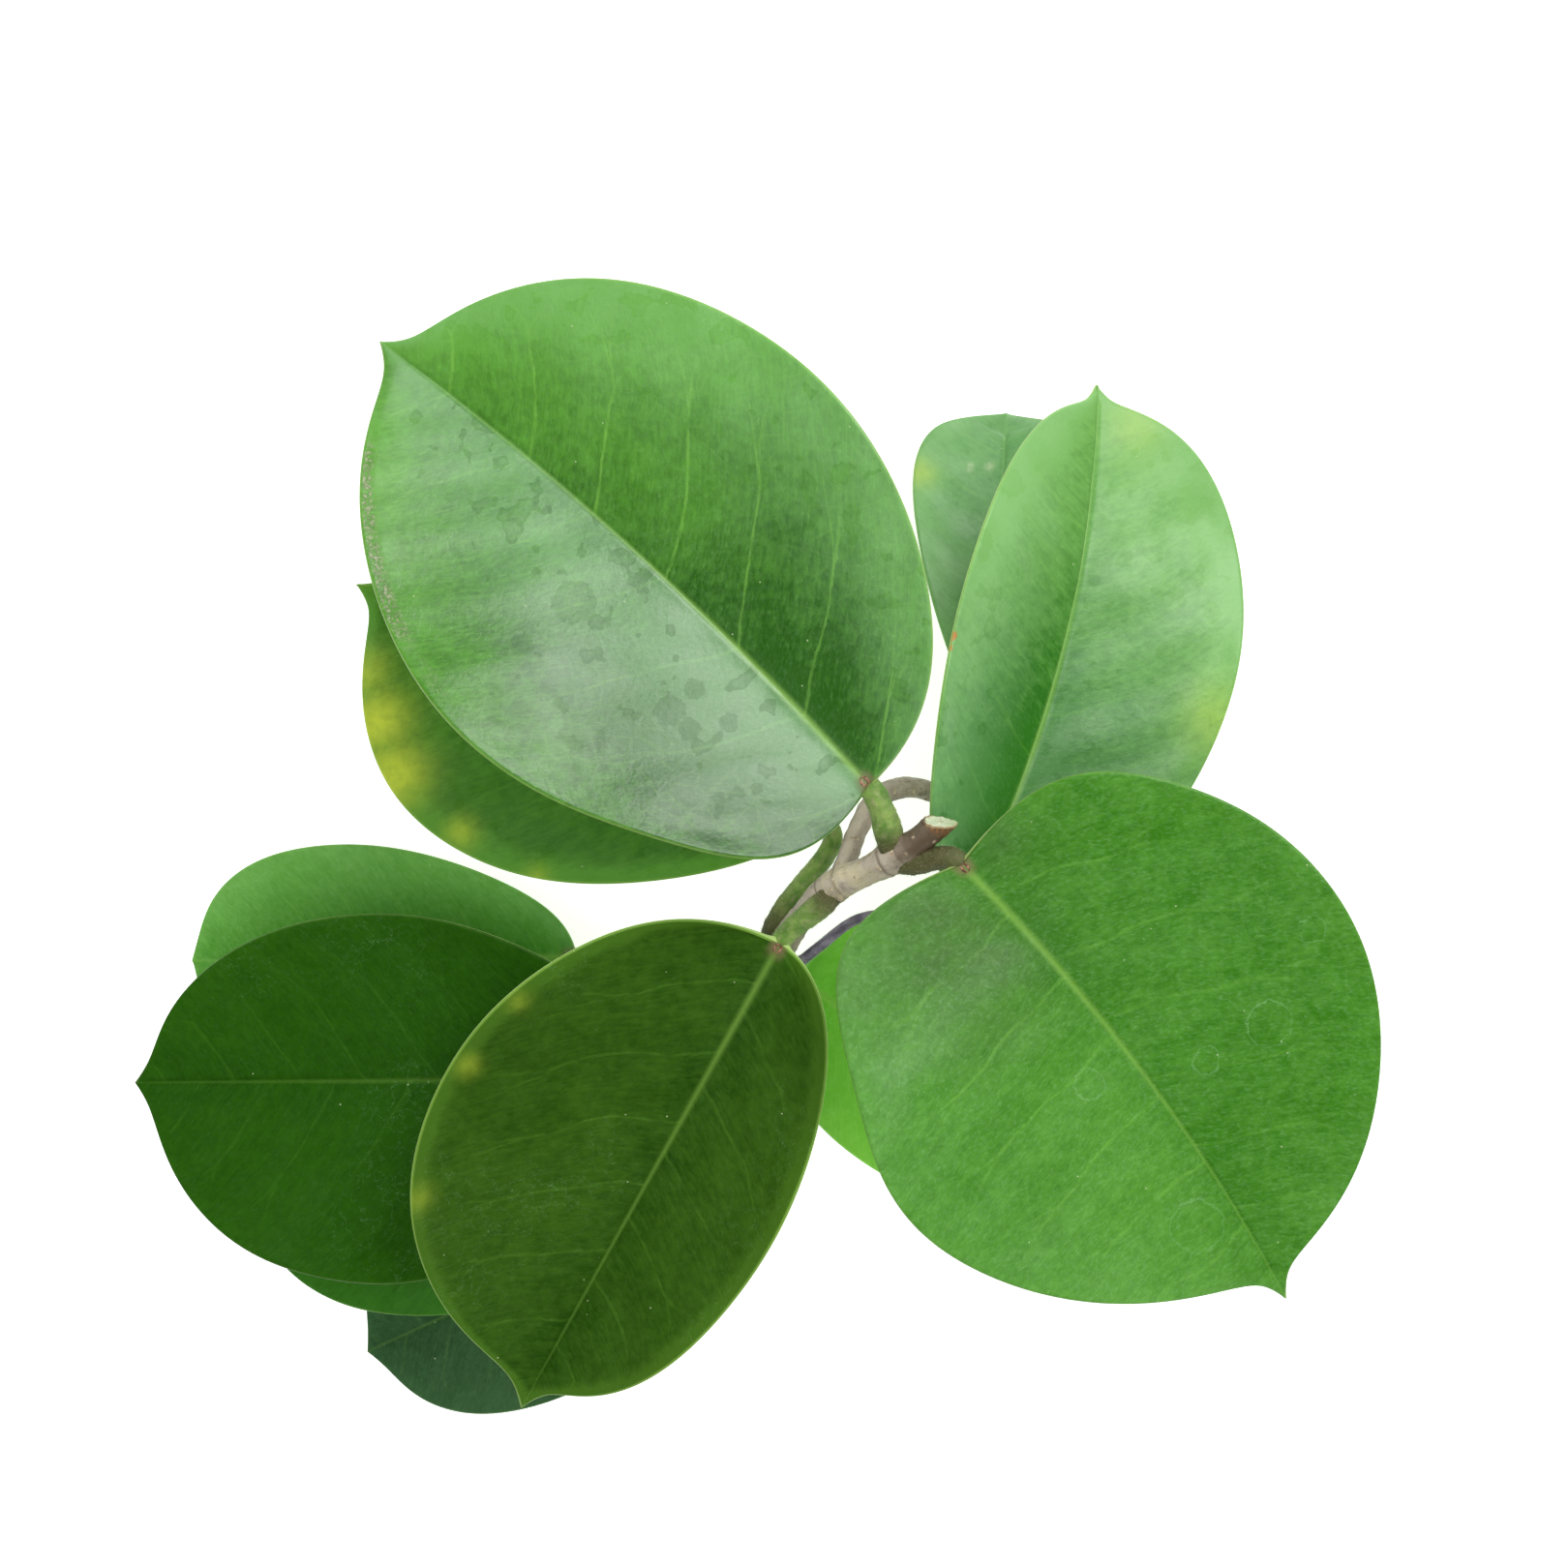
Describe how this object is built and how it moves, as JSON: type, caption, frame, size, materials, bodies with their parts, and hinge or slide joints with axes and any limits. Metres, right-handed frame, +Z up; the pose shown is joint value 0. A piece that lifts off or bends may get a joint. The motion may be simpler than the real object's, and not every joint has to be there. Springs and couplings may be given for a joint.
{
  "type": "hoya australis",
  "caption": "Cut length of waxy climbing vine lying flat, its broad oval drip-tipped leaves face up on stout petioles from a jointed woody stem with a side branch.",
  "frame": {"origin": "middle of the object's box in plan, on the surface that it lies on", "axes": "+X towards the stem's slanting cut end, +Y towards the tip of the side branch's small leaf, +Z up from the surface, the way the leaves face"},
  "size_m": [0.187, 0.1712, 0.0598],
  "materials": {
    "leaf_green": "waxy, softly glossy fresh green leaf",
    "leaf_dark": "waxy, softly glossy deep green leaf",
    "leaf_young": "waxy bright green leaf",
    "bark": "matt grey-brown bark with fine cracks, pale green where cut",
    "shoot": "purple-grey young skin with fine hairs"
  },
  "bodies": {
    "root": {"vine_stem": "bark", "young_shoot": "shoot", "leaf_1_left": "leaf_green", "leaf_1_right": "leaf_green", "leaf_2_left": "leaf_dark", "leaf_3_left": "leaf_dark", "leaf_3_right": "leaf_young", "leaf_4_left": "leaf_young", "leaf_5_left": "leaf_dark", "leaf_5_right": "leaf_dark", "leaf_6_end": "leaf_green", "leaf_side_left": "leaf_young", "leaf_side_right": "leaf_green"}
  },
  "joints": []
}
